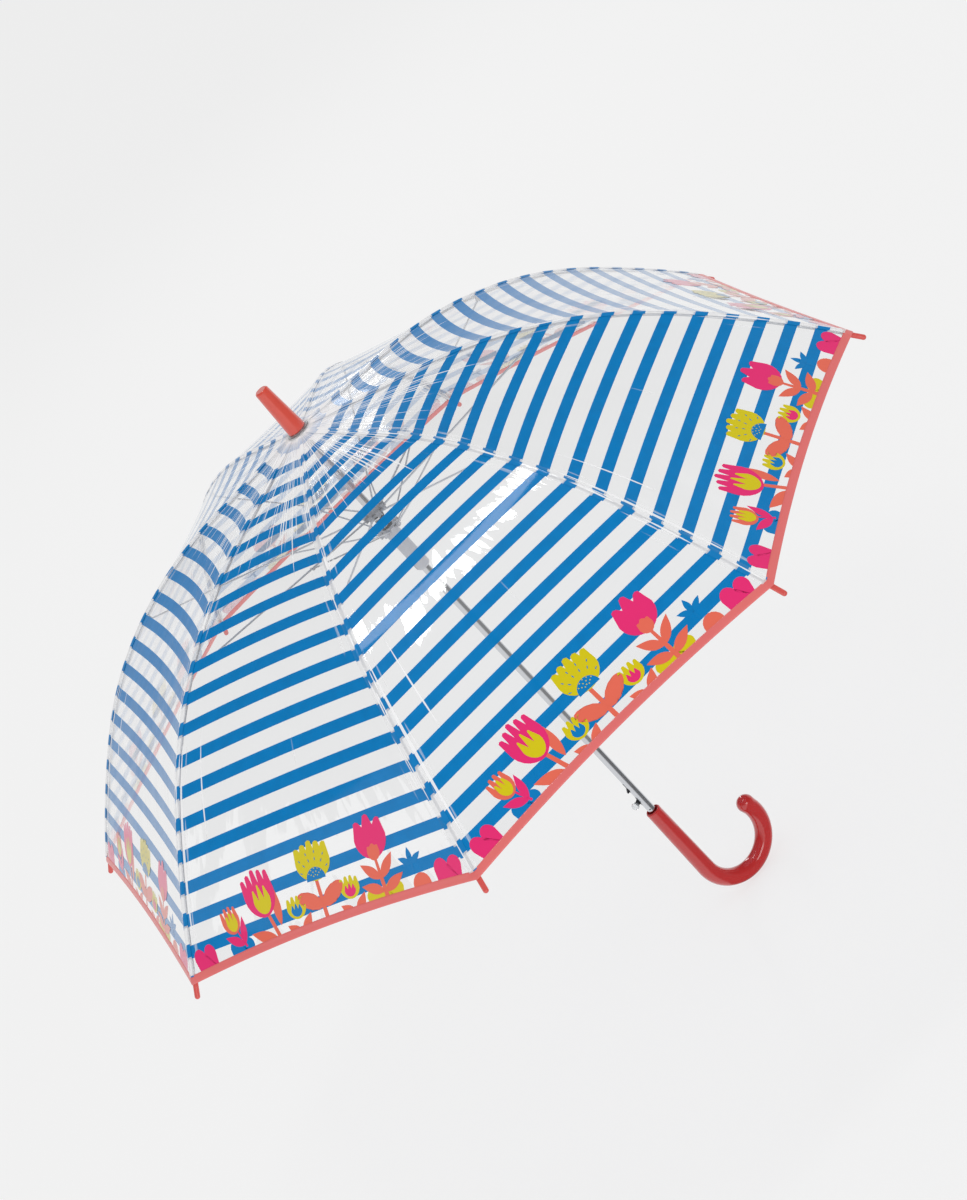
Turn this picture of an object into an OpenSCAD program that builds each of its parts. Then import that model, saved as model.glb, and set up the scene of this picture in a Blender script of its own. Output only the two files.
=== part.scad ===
// Children's dome umbrella: eight curved ribs under a clear canopy, a chromed shaft with a crook handle,
// a two-hub opening linkage pushed apart by a coil spring, and a press button that lets it open.
// Z runs up the shaft, the crook lies in the XZ plane and opens towards +X, and the button is on the -X side.
// Every length is in millimetres.

/* [Canopy and ribs] */
// Straight length of a rib from its hinge, before it starts to bend
rib_straight = 100; // [90:1:110]
// Slope of that straight length below horizontal
rib_root_slope = 9.5; // [9:0.1:10]
// Radius of the tight bend of a rib
rib_bend_radius = 422; // [400:1:440]
// Angle through which that bend turns
rib_bend_angle = 34; // [32:0.5:36]
// Radius of the gentle bend from there to the hem
rib_outer_radius = 1110; // [900:10:1300]
// Length of a rib from its hinge to the hem
rib_length = 487; // [470:1:495]
// Radius of the rib wire
rib_wire_radius = 1.2; // [1:0.05:1.3]
// Thickness of the canopy film
film_thickness = 0.5; // [0.4:0.05:0.6]
// How far the hem rises at the middle of a panel
hem_rise = 7; // [0:0.5:12]

/* [Shaft and handle] */
// Outer radius of the shaft tube
shaft_radius = 4; // [3.8:0.05:4.2]
// Wall of the shaft tube
shaft_wall = 0.6; // [0.5:0.05:0.7]
// Length of shaft between the handle's mouth and the crown
shaft_clear = 507; // [500:1:520]
// Straight length of the handle, from its mouth to the crook
grip_length = 84; // [70:1:100]
// Radius of the handle at its mouth
grip_mouth_radius = 7.5; // [7.2:0.1:8]
// Radius of the handle at the crook
grip_radius = 8.5; // [8:0.1:9]
// Centre-line radius of the crook
crook_radius = 36; // [30:0.5:42]
// Angle through which the crook turns
crook_angle = 192; // [170:1:200]
// Length of the cap over the crown end of the shaft
ferrule_length = 48; // [40:1:55]

/* [Linkage] */
// Distance along a rib from its hinge to the stretcher's pivot
pivot_along_rib = 221; // [218:0.5:222]
// Depth of that pivot below the rib wire's centre
pivot_drop = 3.4; // [3.3:0.05:3.6]
// How much shorter the stretcher is than the rib's chord to the pivot
stretcher_shortfall = 3; // [2.5:0.1:3.2]
// Distance from a stretcher's inner end to the strut's pin
strut_pin_distance = 73; // [72:0.5:76]
// Gap between the two hubs' hinge planes when open
hub_gap = 20.5; // [20:0.25:22]
// Length of the runner below its hinge plane
runner_sleeve = 49; // [46:0.5:50]
// Radius of the circle on which the hinges lie at each hub
hinge_circle = 9.5; // [9.3:0.05:9.7]

/* [Hidden] */

rib_count = 8;
rib_step = 360 / rib_count;
first_rib = 12.5;            // azimuth of rib 1 from the crook's plane
fit = 0.05;                  // running clearance on a radius
gap = 0.3;                   // clearance between pieces that pass each other
film_clear = 3;              // from a rib wire's centre to the film's middle
shaft_bore = shaft_radius + fit;
shaft_inner = shaft_radius - shaft_wall;

// heights
crook_z = crook_radius + grip_radius;
mouth_z = crook_z + grip_length;
crown_z = mouth_z + shaft_clear;
hinge_z = crown_z - 4;
shaft_foot = mouth_z - 40;
ferrule_base = crown_z + 1;
ferrule_top = ferrule_base + ferrule_length;
shaft_top = ferrule_base + 33;

// the rib's centre-line in its own radial plane, as [distance from the shaft's axis, height]
function along(a) = [cos(a), -sin(a)];
function outward(a) = [sin(a), cos(a)];
bend_length = rib_bend_radius * rib_bend_angle * PI / 180;
outer_slope = rib_root_slope + rib_bend_angle;
bend_start = [hinge_circle, hinge_z] + rib_straight * along(rib_root_slope);
bend_centre = bend_start - rib_bend_radius * outward(rib_root_slope);
outer_start = bend_centre + rib_bend_radius * outward(outer_slope);
outer_centre = outer_start - rib_outer_radius * outward(outer_slope);
function slope(s) =
    s < rib_straight ? rib_root_slope
    : s < rib_straight + bend_length ? rib_root_slope + (s - rib_straight) / rib_bend_radius * 180 / PI
    : outer_slope + (s - rib_straight - bend_length) / rib_outer_radius * 180 / PI;
function rib_point(s) =
    s < rib_straight ? [hinge_circle, hinge_z] + s * along(rib_root_slope)
    : s < rib_straight + bend_length ? bend_centre + rib_bend_radius * outward(slope(s))
    : outer_centre + rib_outer_radius * outward(slope(s));
function offset_point(s, d) = rib_point(s) + d * outward(slope(s));

// linkage, in the same radial plane and open
pivot = offset_point(pivot_along_rib, -pivot_drop);
chord = norm(pivot - [hinge_circle, hinge_z]);
stretcher_length = chord - stretcher_shortfall;
stretcher_lean = asin((pivot[0] - hinge_circle) / stretcher_length);
spring_hub_z = pivot[1] - stretcher_length * cos(stretcher_lean);
strut_pin = [hinge_circle, spring_hub_z] + strut_pin_distance * [sin(stretcher_lean), cos(stretcher_lean)];
runner_z = spring_hub_z - hub_gap;
strut_length = norm(strut_pin - [hinge_circle, runner_z]);
strut_lean = asin((strut_pin[0] - hinge_circle) / strut_length);
end_gap = 0.8;               // the open pivot: how far a stretcher or strut stops short of its hub's circle
stretcher_wire = 0.9;
strut_wire = 0.75;
strut_side = 2;              // a strut runs this far beside its stretcher
eye_radius = 1.6;
pin_radius = 0.7;

// hubs
hub_radius = 12;
hub_core = 7.2;
hub_half = 2.5;
sleeve_radius = 7;
ring_wire = 0.55;
hinge_wire = 0.55;           // the wire in the top notch that the ribs turn on
ring_circle = 8;
spring_seat = 6;             // depth of the spring's seat below the runner's hinge plane
spring_coil = 4.95;
spring_wire = 0.55;
spring_turns = 7;

// release lever, from its pin upwards
lever_pin_z = mouth_z + 4;
lever_x = -2.1;
catch_z = mouth_z + 30.5;    // the flat face that holds the closed runner down
tooth_x = -6.3;
button_z = mouth_z + 16;
button_radius = 3.6;
button_x = -9.3;

module at_rib(k) { rotate([0, 0, first_rib + k * rib_step]) children(); }
// puts a solid that is drawn up Z at a point of the radial plane, leaning out from Z by an angle
module lean(p, a) { translate([p[0], 0, p[1]]) rotate([0, a, 0]) children(); }
// puts a solid that is drawn up Z along the tangential direction, through a point of the radial plane
module across(p) { translate([p[0], 0, p[1]]) rotate([90, 0, 0]) children(); }
module rod(r, h) { cylinder(r = r, h = h, $fn = 24); }
module tube(r, bore, h) {
    difference() {
        cylinder(r = r, h = h, $fn = 48);
        translate([0, 0, -1]) cylinder(r = bore, h = h + 2, $fn = 48);
    }
}
module arc_rod(centre, bend, from, to, r) {
    translate([centre[0], 0, centre[1]]) rotate([90, 0, 0]) rotate([0, 0, 90 - to])
        rotate_extrude(angle = to - from, $fn = 180) translate([bend, 0]) circle(r = r, $fn = 24);
}
module wire_ring(z, circle, r) {
    translate([0, 0, z]) rotate_extrude($fn = 96) translate([circle, 0]) circle(r = r, $fn = 24);
}
module slots(z, height, from, side_low, side_high) {
    for (k = [0:rib_count - 1]) at_rib(k)
        translate([from, side_low, z]) cube([hub_radius, side_high - side_low, height]);
}

module shaft() color([0.78, 0.79, 0.81])
    difference() {
        translate([0, 0, shaft_foot]) tube(shaft_radius, shaft_inner, shaft_top - shaft_foot);
        translate([-2 * shaft_radius, -1.1, catch_z - 1]) cube([2 * shaft_radius, 2.2, 12]);
        translate([-2 * shaft_radius, -1.1, button_z - 4]) cube([2 * shaft_radius, 2.2, 10]);
        translate([lever_x, shaft_radius + 1, lever_pin_z]) rotate([90, 0, 0])
            rod(pin_radius + fit, 2 * shaft_radius + 2);
        notch_pin_rod(0.8 + fit, 28);
    }

module ferrule_cap() color([0.85, 0.28, 0.24])
    difference() {
        rotate_extrude($fn = 64) polygon([
            [0, ferrule_base], [8.6, ferrule_base], [8.9, ferrule_base + 0.6],
            [6.6, ferrule_top - 1.8], [6.2, ferrule_top - 0.8], [5.2, ferrule_top], [0, ferrule_top]]);
        translate([0, 0, ferrule_base - 1]) cylinder(r = shaft_bore, h = shaft_top - ferrule_base + 1.3, $fn = 48);
    }

module crown_washer() color([0.93, 0.94, 0.95, 0.8])
    translate([0, 0, crown_z]) tube(11.5, shaft_bore, 0.8);

// a rod right through the top notch and the shaft, between two ribs
module notch_pin_rod(r, length) {
    rotate([0, 0, first_rib + rib_step / 2]) translate([-length / 2, 0, crown_z - 7]) rotate([0, 90, 0])
        rod(r, length);
}

module top_notch() color([0.92, 0.92, 0.93])
    difference() {
        translate([0, 0, crown_z - 8.6]) tube(hub_radius + 0.5, shaft_bore, 6.2);
        slots(crown_z - 10, 10, 7.4, -1.5, 1.5);
        wire_ring(hinge_z, hinge_circle, hinge_wire + fit);
        notch_pin_rod(0.8 + fit, 28);
    }
module top_notch_wire() color([0.75, 0.76, 0.78]) wire_ring(hinge_z, hinge_circle, hinge_wire);
module top_notch_pin() color([0.7, 0.71, 0.73]) notch_pin_rod(0.8, 24.8);

module handle() color([0.77, 0.19, 0.19])
    difference() {
        union() {
            translate([0, 0, crook_z]) cylinder(r1 = grip_radius, r2 = grip_mouth_radius, h = grip_length - 1, $fn = 64);
            translate([0, 0, mouth_z - 1])
                cylinder(r1 = grip_mouth_radius, r2 = grip_mouth_radius - 0.8, h = 1, $fn = 64);
            translate([crook_radius, 0, crook_z]) rotate([90, 0, 0]) rotate([0, 0, 180])
                rotate_extrude(angle = crook_angle, $fn = 180)
                    translate([crook_radius, 0]) circle(r = grip_radius, $fn = 48);
            translate([crook_radius, 0, crook_z]) rotate([0, -(crook_angle - 180), 0])
                translate([crook_radius, 0, 0]) {
                    cylinder(r1 = grip_radius, r2 = grip_radius + 0.4, h = 5, $fn = 48);
                    translate([0, 0, 5]) sphere(r = grip_radius + 0.4, $fn = 48);
                }
        }
        translate([0, 0, shaft_foot - 1]) cylinder(r = shaft_bore, h = mouth_z - shaft_foot + 2, $fn = 48);
        translate([0, 0, mouth_z - 3]) cylinder(r = grip_mouth_radius - 1.7, h = 4, $fn = 48);
    }

module spring_hub() color([0.62, 0.63, 0.65])
    difference() {
        union() {
            translate([0, 0, spring_hub_z - hub_half]) cylinder(r = hub_radius, h = 2 * hub_half, $fn = 64);
            translate([0, 0, spring_hub_z + hub_half])
                cylinder(r1 = hub_core + 1, r2 = hub_core - 0.6, h = 6, $fn = 48);
        }
        translate([0, 0, spring_hub_z - 10]) cylinder(r = shaft_bore, h = 30, $fn = 48);
        slots(spring_hub_z - hub_half - 1, 2 * hub_half + 9, hub_core, -1.2, strut_side + 1.2);
        wire_ring(spring_hub_z, ring_circle, ring_wire + fit);
    }
module spring_hub_wire() color([0.75, 0.76, 0.78]) wire_ring(spring_hub_z, ring_circle, ring_wire);

module runner() color([0.80, 0.80, 0.82])
    difference() {
        union() {
            translate([0, 0, runner_z - hub_half]) cylinder(r = hub_radius, h = 2 * hub_half, $fn = 64);
            translate([0, 0, runner_z - runner_sleeve + 2])
                cylinder(r = sleeve_radius, h = runner_sleeve - 2, $fn = 64);
            translate([0, 0, runner_z - runner_sleeve])
                cylinder(r1 = sleeve_radius - 1.4, r2 = sleeve_radius, h = 2, $fn = 64);
        }
        translate([0, 0, runner_z - runner_sleeve - 1])
            cylinder(r = shaft_bore, h = runner_sleeve + 10, $fn = 48);
        translate([0, 0, runner_z - spring_seat])
            cylinder(r = spring_coil + spring_wire + gap, h = spring_seat + 10, $fn = 48);
        slots(runner_z - hub_half - 1, 2 * hub_half + 2, hub_core, -1.3, strut_side + 1.3);
        wire_ring(runner_z, ring_circle, ring_wire + fit);
        translate([-2 * sleeve_radius, -1.3, runner_z - runner_sleeve + 2.5])
            cube([2 * sleeve_radius - 2, 2.6, 12]);
    }
module runner_wire() color([0.75, 0.76, 0.78]) wire_ring(runner_z, ring_circle, ring_wire);

// the spring's wire is swept round the shaft, from the runner's seat to the spring hub
spring_from = runner_z - spring_seat + spring_wire + 0.05;
spring_to = spring_hub_z - hub_half - spring_wire - 0.05;
spring_steps = 20;
spring_sides = 6;
function spring_point(i, j) =
    let (turn = 360 * i / spring_steps, side = 360 * j / spring_sides,
         r = spring_coil + spring_wire * cos(side),
         climb = (spring_to - spring_from) * i / (spring_steps * spring_turns))
        [r * cos(turn), r * sin(turn), spring_from + climb + spring_wire * sin(side)];
module opening_spring() {
    rings = spring_turns * spring_steps;
    points = [for (i = [0:rings]) for (j = [0:spring_sides - 1]) spring_point(i, j)];
    walls = [for (i = [0:rings - 1]) for (j = [0:spring_sides - 1])
        let (a = i * spring_sides + j, b = i * spring_sides + (j + 1) % spring_sides)
            each [[a, a + spring_sides, b + spring_sides], [a, b + spring_sides, b]]];
    ends = [[for (j = [0:spring_sides - 1]) j], [for (j = [spring_sides - 1:-1:0]) rings * spring_sides + j]];
    color([0.45, 0.46, 0.48]) polyhedron(points, concat(walls, ends));
}

module release_lever() color([0.25, 0.25, 0.27])
    difference() {
        union() {
            translate([lever_x - 0.45, -0.8, lever_pin_z]) cube([0.9, 1.6, catch_z + 10 - lever_pin_z]);
            translate([lever_x, 0.8, lever_pin_z]) rotate([90, 0, 0]) cylinder(r = 1.15, h = 1.6, $fn = 32);
            translate([0, 0.8, 0]) rotate([90, 0, 0]) linear_extrude(1.6) polygon([
                [lever_x, catch_z + 8.5], [tooth_x, catch_z + 1], [tooth_x, catch_z], [lever_x, catch_z]]);
            translate([0, 0.8, 0]) rotate([90, 0, 0]) linear_extrude(1.6) polygon([
                [lever_x, button_z + 4.5], [-5.4, button_z + 2.8], [button_x + 1, button_z + 1.2],
                [button_x + 1, button_z - 1.2], [-5.4, button_z - 1.8], [lever_x, button_z - 2.6]]);
        }
        translate([lever_x, 3, lever_pin_z]) rotate([90, 0, 0]) rod(pin_radius + fit, 6);
    }
module release_lever_pin() color([0.7, 0.71, 0.73])
    translate([lever_x, 2.8, lever_pin_z]) rotate([90, 0, 0]) rod(pin_radius, 5.6);
module release_button() color([0.92, 0.94, 0.95, 0.5])
    difference() {
        translate([button_x, 0, button_z]) sphere(r = button_radius, $fn = 48);
        translate([button_x + 0.9, -0.8 - fit, button_z - 3]) cube([10, 1.6 + 2 * fit, 6]);
    }

module rib(k) color([0.80, 0.81, 0.82]) at_rib(k) {
    bend_end = rib_straight + bend_length;
    end_s = rib_length + 3;
    difference() {
        union() {
            across([hinge_circle, hinge_z]) translate([0, 0, -1]) cylinder(r = 1.7, h = 2, $fn = 32);
            lean([hinge_circle, hinge_z], 90 + rib_root_slope) rod(rib_wire_radius, rib_straight);
        }
        across([hinge_circle, hinge_z]) translate([0, 0, -3]) rod(hinge_wire + 0.1, 6);
    }
    arc_rod(bend_centre, rib_bend_radius, rib_root_slope, outer_slope, rib_wire_radius);
    arc_rod(outer_centre, rib_outer_radius, outer_slope, slope(end_s), rib_wire_radius);
    for (side = [-1, 1]) hull() {
        across(pivot) translate([0, 0, 1.5 * side - 0.4]) cylinder(r = 1.9, h = 0.8, $fn = 32);
        across(offset_point(pivot_along_rib, -0.4))
            translate([0, 0, 1.5 * side - 0.4]) cylinder(r = 1.9, h = 0.8, $fn = 32);
    }
    across(offset_point(pivot_along_rib, 0)) translate([0, 0, -1.9]) cylinder(r = 1.5, h = 3.8, $fn = 32);
    across(pivot) translate([0, 0, -2.4]) rod(pin_radius, 4.8);
}

module rib_tip(k) color([0.89, 0.35, 0.33]) at_rib(k) {
    radius = 2.4;
    base = offset_point(rib_length, 0);
    difference() {
        lean(base, 90 + slope(rib_length)) {
            translate([0, 0, -8]) rod(radius, 18.6);
            translate([0, 0, 10.6]) sphere(r = radius, $fn = 24);
        }
        lean(base, 90 + slope(rib_length)) translate([0, 0, -9]) rod(rib_wire_radius + 0.12, 12.5);
    }
}

module stretcher(k) color([0.80, 0.81, 0.82]) at_rib(k)
    lean([hinge_circle, spring_hub_z], stretcher_lean) {
        far = stretcher_length;
        difference() {
            union() {
                translate([0, 0, end_gap + stretcher_wire]) rod(stretcher_wire, far - end_gap - stretcher_wire);
                translate([0, 0, end_gap + stretcher_wire]) sphere(r = stretcher_wire, $fn = 24);
                across([0, far]) translate([0, 0, -0.85]) cylinder(r = eye_radius, h = 1.7, $fn = 32);
            }
            across([0, far]) translate([0, 0, -3]) rod(pin_radius + fit, 6);
        }
        translate([0, strut_side + 1, strut_pin_distance]) rotate([90, 0, 0]) rod(pin_radius, strut_side + 2.2);
        translate([0, strut_side + 1.6, strut_pin_distance]) rotate([90, 0, 0]) cylinder(r = 1.2, h = 0.6, $fn = 24);
        translate([0, -0.6, strut_pin_distance]) rotate([90, 0, 0]) cylinder(r = 1.2, h = 0.8, $fn = 24);
    }

module strut(k) color([0.80, 0.81, 0.82]) at_rib(k)
    translate([0, strut_side, 0]) lean([hinge_circle, runner_z], strut_lean)
        difference() {
            union() {
                translate([0, 0, end_gap + strut_wire]) rod(strut_wire, strut_length - end_gap - strut_wire);
                translate([0, 0, end_gap + strut_wire]) sphere(r = strut_wire, $fn = 24);
                across([0, strut_length]) translate([0, 0, -0.7]) cylinder(r = 1.5, h = 1.4, $fn = 32);
            }
            across([0, strut_length]) translate([0, 0, -3]) rod(pin_radius + fit, 6);
        }

// one panel of film between two ribs: straight across, a little above the wires, and cut in an arc at its hem
panel_rows = 16;
panel_columns = 6;
panel_start = -3.4;
function panel_point(i, j, side) =
    let (share = j / panel_columns,
         reach = rib_length - panel_start - hem_rise * 4 * share * (1 - share),
         p = offset_point(panel_start + reach * i / panel_rows, film_clear + side * film_thickness / 2),
         reach_across = p[0] * sin(rib_step / 2) - gap)
        [p[0] * cos(rib_step / 2), reach_across * (2 * share - 1), p[1]];
module canopy_panel(k) {
    row = panel_columns + 1;
    count = (panel_rows + 1) * row;
    points = [for (side = [1, -1]) for (i = [0:panel_rows]) for (j = [0:panel_columns]) panel_point(i, j, side)];
    outer = [for (i = [0:panel_rows - 1]) for (j = [0:panel_columns - 1])
        let (a = i * row + j, b = a + 1, c = a + row, d = c + 1) each [[a, b, d], [a, d, c]]];
    inner = [for (f = outer) [f[0] + count, f[2] + count, f[1] + count]];
    rim = concat([for (j = [0:panel_columns]) j], [for (i = [1:panel_rows]) i * row + panel_columns],
        [for (j = [panel_columns - 1:-1:0]) panel_rows * row + j], [for (i = [panel_rows - 1:-1:1]) i * row]);
    edges = [for (n = [0:len(rim) - 1])
        let (a = rim[n], b = rim[(n + 1) % len(rim)]) each [[a, b + count, b], [a, a + count, b + count]]];
    color([0.35, 0.62, 0.83, 0.6]) rotate([0, 0, first_rib + (k + 0.5) * rib_step])
        polyhedron(points, concat(outer, inner, edges));
}

shaft();
ferrule_cap();
crown_washer();
top_notch();
top_notch_wire();
top_notch_pin();
handle();
spring_hub();
spring_hub_wire();
opening_spring();
runner();
runner_wire();
release_lever();
release_button();
release_lever_pin();
for (k = [0:rib_count - 1]) {
    rib(k);
    rib_tip(k);
    stretcher(k);
    strut(k);
    canopy_panel(k);
}
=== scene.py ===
import math

import bmesh
import bpy
from mathutils import Matrix, Vector


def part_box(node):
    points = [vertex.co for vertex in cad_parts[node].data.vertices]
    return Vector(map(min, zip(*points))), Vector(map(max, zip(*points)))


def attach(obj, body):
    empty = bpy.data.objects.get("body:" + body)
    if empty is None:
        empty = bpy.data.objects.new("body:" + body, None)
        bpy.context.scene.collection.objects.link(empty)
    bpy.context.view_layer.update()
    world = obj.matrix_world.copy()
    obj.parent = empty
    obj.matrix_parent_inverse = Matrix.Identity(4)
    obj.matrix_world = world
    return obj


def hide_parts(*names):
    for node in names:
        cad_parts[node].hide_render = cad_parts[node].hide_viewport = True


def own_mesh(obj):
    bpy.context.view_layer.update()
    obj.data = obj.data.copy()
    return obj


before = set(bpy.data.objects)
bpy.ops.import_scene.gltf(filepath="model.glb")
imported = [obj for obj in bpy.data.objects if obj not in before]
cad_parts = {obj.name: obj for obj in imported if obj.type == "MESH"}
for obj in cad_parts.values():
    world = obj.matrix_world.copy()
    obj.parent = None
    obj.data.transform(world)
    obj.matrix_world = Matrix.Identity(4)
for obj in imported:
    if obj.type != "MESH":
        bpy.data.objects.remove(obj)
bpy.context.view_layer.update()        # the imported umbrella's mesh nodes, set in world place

print("frame loaded:", len(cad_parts), "nodes")

# the rib's curve, which the film lies on
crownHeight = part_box("crown_washer")[0].z
ribCurve = {
    "count": 8,
    "firstAzimuth": 12.5,       # degrees from the crook's plane
    "hingeRadius": 0.0095,
    "hingeHeight": crownHeight - 0.004,
    "straight": 0.100,
    "rootSlope": 9.5,           # degrees below horizontal
    "bendRadius": 0.422,
    "bendAngle": 34.0,
    "outerRadius": 1.110,
    "length": 0.487,            # from hinge to hem
}
ribStep = 360 / ribCurve["count"]
halfStep = math.radians(ribStep / 2)


def outward(angle):
    return Vector((math.sin(math.radians(angle)), math.cos(math.radians(angle))))


def downward(angle):
    return Vector((math.cos(math.radians(angle)), -math.sin(math.radians(angle))))


bendLength = ribCurve["bendRadius"] * math.radians(ribCurve["bendAngle"])
outerSlope = ribCurve["rootSlope"] + ribCurve["bendAngle"]
hingePoint = Vector((ribCurve["hingeRadius"], ribCurve["hingeHeight"]))
bendCentre = (hingePoint + ribCurve["straight"] * downward(ribCurve["rootSlope"])
              - ribCurve["bendRadius"] * outward(ribCurve["rootSlope"]))
outerCentre = bendCentre + (ribCurve["bendRadius"] - ribCurve["outerRadius"]) * outward(outerSlope)


def ribSlope(s):
    if s < ribCurve["straight"]:
        return ribCurve["rootSlope"]
    if s < ribCurve["straight"] + bendLength:
        return ribCurve["rootSlope"] + math.degrees((s - ribCurve["straight"]) / ribCurve["bendRadius"])
    return outerSlope + math.degrees((s - ribCurve["straight"] - bendLength) / ribCurve["outerRadius"])


# a point of the rib's own plane, as distance from the shaft and height, lifted off the wire
def liftedPoint(s, lift):
    slope = ribSlope(s)
    if s < ribCurve["straight"]:
        point = hingePoint + s * downward(slope)
    elif s < ribCurve["straight"] + bendLength:
        point = bendCentre + ribCurve["bendRadius"] * outward(slope)
    else:
        point = outerCentre + ribCurve["outerRadius"] * outward(slope)
    return point + lift * outward(slope)


film = {
    "start": -0.0034,           # along the rib, inside the hinge
    "lift": 0.0031,             # above the rib wire's centre
    "hemRise": 0.007,           # how far the hem is cut back at a panel's middle
    "sag": 0.005,               # how far a stretched panel pulls in at its middle
    "rows": 70,
    "columns": 12,              # in each half panel
    "stripes": 18.5,            # printed bands from hinge to hem
    "stripeShare": 0.41,
    "foldedShare": 0.1,         # what is left of a half panel's width when the ribs are folded
    "mottleScale": 90.0,        # unevenness of the printed bands
    "mottle": (0.94, 1.04),
}


# a point of the film: panel g lies between ribs g and g + 1, and across runs from -1 to 1 over it
def panelPoint(g, s, across, lift):
    r, z = liftedPoint(s, film["lift"] + lift)
    bell = math.sin(math.pi * min(max(s / ribCurve["length"], 0), 1) ** 0.8)
    reach = r * math.cos(halfStep) - film["sag"] * bell * (1 - across * across)
    side = r * math.sin(halfStep) * across
    a = math.radians(ribCurve["firstAzimuth"] + (g + 0.5) * ribStep)
    return Vector((reach * math.cos(a) - side * math.sin(a), reach * math.sin(a) + side * math.cos(a), z))


def panelHalf(s):
    return liftedPoint(s, film["lift"])[0] * math.sin(halfStep)


# a point of the film counted from rib k: turn runs from -1, the middle of the panel before it, to 1, the middle
# of the panel after it
def ribFilmPoint(k, s, turn, lift=0.0):
    return panelPoint(k - 1, s, 1 + turn, lift) if turn < 0 else panelPoint(k, s, turn - 1, lift)


def hemLength(turn):
    across = 1 - abs(turn)
    return ribCurve["length"] - film["hemRise"] * (1 - across * across)


def makeMesh(name, points, faces, material, uvs=None, smooth=True):
    mesh = bpy.data.meshes.new(name)
    mesh.from_pydata([tuple(p) for p in points], [], faces)
    if uvs:
        layer = mesh.uv_layers.new(name="cut")
        for loop in mesh.loops:
            layer.data[loop.index].uv = uvs[loop.vertex_index]
    mesh.polygons.foreach_set("use_smooth", [smooth] * len(mesh.polygons))
    mesh.update()
    piece = bpy.data.objects.new(name, mesh)
    bpy.context.scene.collection.objects.link(piece)
    mesh.materials.append(material)
    return piece


def gridFaces(rows, columns, closed=False):
    faces = []
    width = columns if closed else columns + 1
    for i in range(rows):
        for j in range(columns):
            k = (j + 1) % width
            faces.append((i * width + j, i * width + k, (i + 1) * width + k, (i + 1) * width + j))
    return faces


# colours and node helpers
def srgb(code):
    parts = [int(code[i:i + 2], 16) / 255 for i in (0, 2, 4)]
    return tuple(p / 12.92 if p <= 0.04045 else ((p + 0.055) / 1.055) ** 2.4 for p in parts) + (1.0,)


inks = {
    "blue": srgb("0080C6"), "coral": srgb("F0705A"), "magenta": srgb("F02F78"),
    "yellow": srgb("DDCD14"), "hem": srgb("EE7472"), "tip": srgb("E05A54"), "ferrule": srgb("E2503F"),
    "handle": srgb("C22A2A"),
}


class Tree:
    def __init__(self, tree):
        self.tree = tree
        self.place = 0

    def add(self, kind, values=None, **settings):
        node = self.tree.nodes.new(kind)
        node.location = (self.place * 180, -(self.place % 4) * 160)
        self.place += 1
        for key, value in settings.items():
            setattr(node, key, value)
        for key, value in (values or {}).items():
            if isinstance(value, bpy.types.NodeSocket):
                self.tree.links.new(value, node.inputs[key])
            else:
                node.inputs[key].default_value = value
        return node

    def math(self, operation, *values, clamp=False):
        node = self.add("ShaderNodeMath", dict(enumerate(values)), operation=operation, use_clamp=clamp)
        return node.outputs[0]

    def ramp(self, value, low, high, outLow=0.0, outHigh=1.0):
        node = self.add("ShaderNodeMapRange", {"Value": value, "From Min": low, "From Max": high,
                                               "To Min": outLow, "To Max": outHigh})
        return node.outputs[0]

    def mixColour(self, share, first, second):
        node = self.add("ShaderNodeMix", {"Factor": share}, data_type="RGBA")
        for socket, value in ((node.inputs[6], first), (node.inputs[7], second)):
            if isinstance(value, bpy.types.NodeSocket):
                self.tree.links.new(value, socket)
            else:
                socket.default_value = value
        return node.outputs[2]

    def join(self, source, target):
        self.tree.links.new(source, target)


def newGroup(name, inputs, outputs):
    group = bpy.data.node_groups.new(name, "ShaderNodeTree")
    for label, kind, default in inputs:
        group.interface.new_socket(label, in_out="INPUT", socket_type=kind).default_value = default
    for label, kind in outputs:
        group.interface.new_socket(label, in_out="OUTPUT", socket_type=kind)
    tree = Tree(group)
    return group, tree, tree.add("NodeGroupInput"), tree.add("NodeGroupOutput")


def useGroup(tree, group, values):
    node = tree.tree.nodes.new("ShaderNodeGroup")
    node.node_tree = group
    for key, value in values.items():
        if isinstance(value, bpy.types.NodeSocket):
            tree.join(value, node.inputs[key])
        else:
            node.inputs[key].default_value = value
    return node


def newMaterial(name):
    material = bpy.data.materials.new(name)
    material.use_nodes = True
    material.node_tree.nodes.clear()
    tree = Tree(material.node_tree)
    return material, tree, tree.add("ShaderNodeOutputMaterial")


# printed bands: their mask, from the film's own cut
bandGroup, g, gIn, gOut = newGroup(
    "printedBands", [("Along", "NodeSocketFloat", 0.0), ("Period", "NodeSocketFloat", 0.026),
                     ("Share", "NodeSocketFloat", 0.4)],
    [("Mask", "NodeSocketFloat"), ("Ink Wear", "NodeSocketFloat")])
phase = g.math("FRACT", g.math("DIVIDE", gIn.outputs["Along"], gIn.outputs["Period"]))
offCentre = g.math("ABSOLUTE", g.math("SUBTRACT", phase, 0.5))
g.join(g.math("LESS_THAN", offCentre, g.math("MULTIPLY", gIn.outputs["Share"], 0.5)), gOut.inputs["Mask"])
mottle = g.add("ShaderNodeTexNoise", {"Vector": g.add("ShaderNodeTexCoord").outputs["UV"],
                                      "Scale": film["mottleScale"], "Detail": 3.0})
g.join(g.ramp(mottle.outputs["Fac"], 0.3, 0.7, *film["mottle"]), gOut.inputs["Ink Wear"])
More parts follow.
